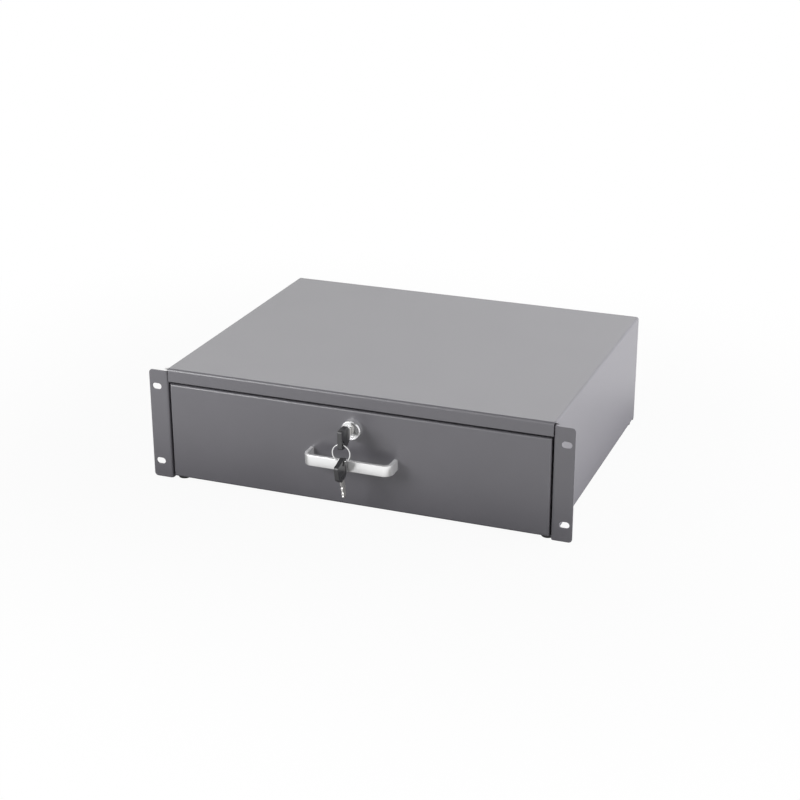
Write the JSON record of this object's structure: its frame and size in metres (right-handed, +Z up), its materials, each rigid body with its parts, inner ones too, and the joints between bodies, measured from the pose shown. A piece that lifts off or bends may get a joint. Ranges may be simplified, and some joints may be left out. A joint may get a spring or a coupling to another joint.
{
  "type": "rack drawer",
  "caption": "Folded steel rack drawer that slides out of its housing on ball-bearing slides, with a bar handle, a cam lock and keys on a ring.",
  "frame": {"origin": "centre of the four slots in the rack ears, on the back faces of the ears, which rest on the rack's rails", "axes": "+X to the right as seen from the front, +Y into the rack, +Z up; the drawer slides out along -Y"},
  "size_m": [0.4826, 0.3994, 0.133],
  "materials": {
    "housing_paint": "dark grey semi-gloss powder coat",
    "tray_paint": "dark grey powder coat, a little flatter inside the tray",
    "slide_zinc": "bright zinc-plated rolled steel",
    "cage_steel": "thin plain steel strip",
    "ball_steel": "polished bearing steel",
    "zinc_screw": "zinc-plated",
    "handle_metal": "bright satin anodised",
    "lock_metal": "chrome-plated zinc die casting",
    "key_metal": "nickel-plated, with milled cuts",
    "key_plastic": "black moulded plastic",
    "ring_wire": "polished spring wire",
    "foot_rubber": "black moulded rubber"
  },
  "bodies": {
    "housing": {"housing_shell": "housing_paint", "back_panel": "housing_paint", "bottom_braces": "housing_paint", "lock_strike": "housing_paint", "rubber_feet": "foot_rubber", "outer_slide_screws": "zinc_screw", "slide_bracket_right": "housing_paint", "slide_bracket_left": "housing_paint", "outer_slide_right": "slide_zinc", "outer_slide_left": "slide_zinc"},
    "drawer": {"drawer_tray": "tray_paint", "drawer_front": "housing_paint", "front_studs": "zinc_screw", "front_nuts": "zinc_screw", "handle": "handle_metal", "handle_screws": "zinc_screw", "lock_body": "lock_metal", "lock_nut": "lock_metal", "inner_slide_screws": "zinc_screw", "inner_slide_right": "slide_zinc", "inner_slide_left": "slide_zinc"},
    "slide_middles": {"middle_slide_right": "slide_zinc", "middle_slide_left": "slide_zinc"},
    "outer_cages": {"outer_cage_right": "cage_steel", "outer_cage_left": "cage_steel", "outer_balls_right": "ball_steel", "outer_balls_left": "ball_steel"},
    "inner_cages": {"inner_cage_right": "cage_steel", "inner_cage_left": "cage_steel", "inner_balls_right": "ball_steel", "inner_balls_left": "ball_steel"},
    "plug": {"lock_plug": "lock_metal", "lock_cam": "slide_zinc", "cam_washer": "zinc_screw", "cam_screw": "zinc_screw"},
    "lock_key": {"key_blade": "key_metal", "key_bow": "key_plastic"},
    "ring": {"key_ring": "ring_wire"},
    "spare_key": {"spare_blade": "key_metal", "spare_bow": "key_plastic"}
  },
  "joints": [
    {"name": "drawer_slide", "type": "slide", "parent": "housing", "child": "drawer", "axis": [0, -1, 0], "range_m": [0, 0.3]},
    {"name": "middle_slide", "type": "slide", "parent": "housing", "child": "slide_middles", "axis": [0, -1, 0], "range_m": [0, 0.15]},
    {"name": "outer_cage_slide", "type": "slide", "parent": "housing", "child": "outer_cages", "axis": [0, -1, 0], "range_m": [0, 0.075]},
    {"name": "inner_cage_slide", "type": "slide", "parent": "housing", "child": "inner_cages", "axis": [0, -1, 0], "range_m": [0, 0.225]},
    {"name": "lock_turn", "type": "hinge", "parent": "drawer", "child": "plug", "pos_m": [0, 0, 0.0284], "axis": [0, 1, 0], "range_deg": [0, 90]},
    {"name": "key_pull", "type": "slide", "parent": "plug", "child": "lock_key", "axis": [0, -1, 0], "range_m": [0, 0.032]},
    {"name": "ring_swing", "type": "hinge", "parent": "lock_key", "child": "ring", "pos_m": [0, -0.0345, 0.0244], "axis": [-1, 0, 0], "range_deg": [-1, 70]},
    {"name": "spare_key_swing", "type": "hinge", "parent": "ring", "child": "spare_key", "pos_m": [0, -0.0345, 0.00185], "axis": [-1, 0, 0], "range_deg": [-2, 40]}
  ],
  "couplings": [
    {"joint": "middle_slide", "follows": "drawer_slide", "ratio": 0.5},
    {"joint": "outer_cage_slide", "follows": "drawer_slide", "ratio": 0.25},
    {"joint": "inner_cage_slide", "follows": "drawer_slide", "ratio": 0.75}
  ]
}
